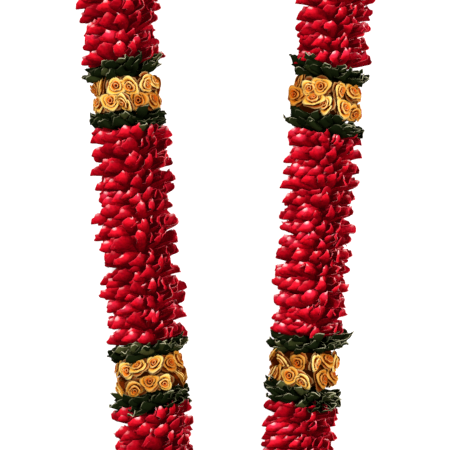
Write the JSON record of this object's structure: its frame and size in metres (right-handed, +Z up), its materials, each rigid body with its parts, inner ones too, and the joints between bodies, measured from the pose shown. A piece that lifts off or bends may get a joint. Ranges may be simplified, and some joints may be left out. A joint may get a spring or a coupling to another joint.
{
  "type": "rose petal garland",
  "caption": "Flower garland worn round the neck: a closed loop of red rose petals with bands of small gold roses between collars of dark green leaves.",
  "frame": {"origin": "on the surface it lies on, under the middle of the loop's outline", "axes": "+Z up from the surface, +Y towards the wide neck end of the loop, +X to the right seen from above"},
  "size_m": [0.3008, 0.8065, 0.0707],
  "materials": {
    "petal_red": "fresh rose petals, satin",
    "leaf_green": "dark waxy leaves, satin",
    "rose_gold": "soft gold petals, satin",
    "thread_cream": "twisted cotton, matt"
  },
  "bodies": {
    "root": {"petals_right_1_1": "petal_red", "petals_right_1_2": "petal_red", "petals_right_1_3": "petal_red", "leaves_right_1_lower": "leaf_green", "leaves_right_1_upper": "leaf_green", "petals_right_2_1": "petal_red", "petals_right_2_2": "petal_red", "petals_right_2_3": "petal_red", "leaves_right_2_lower": "leaf_green", "leaves_right_2_upper": "leaf_green", "petals_right_3_1": "petal_red", "petals_right_3_2": "petal_red", "petals_right_3_3": "petal_red", "leaves_right_3_lower": "leaf_green", "leaves_right_3_upper": "leaf_green", "gold_roses_right_1": "rose_gold", "gold_roses_right_2": "rose_gold", "petals_left_1_1": "petal_red", "petals_left_1_2": "petal_red", "petals_left_1_3": "petal_red", "leaves_left_1_lower": "leaf_green", "leaves_left_1_upper": "leaf_green", "petals_left_2_1": "petal_red", "petals_left_2_2": "petal_red", "petals_left_2_3": "petal_red", "leaves_left_2_lower": "leaf_green", "leaves_left_2_upper": "leaf_green", "petals_left_3_1": "petal_red", "petals_left_3_2": "petal_red", "petals_left_3_3": "petal_red", "leaves_left_3_lower": "leaf_green", "leaves_left_3_upper": "leaf_green", "gold_roses_left_1": "rose_gold", "gold_roses_left_2": "rose_gold", "gold_roses_chest": "rose_gold", "gold_roses_neck": "rose_gold", "thread": "thread_cream"}
  },
  "joints": []
}
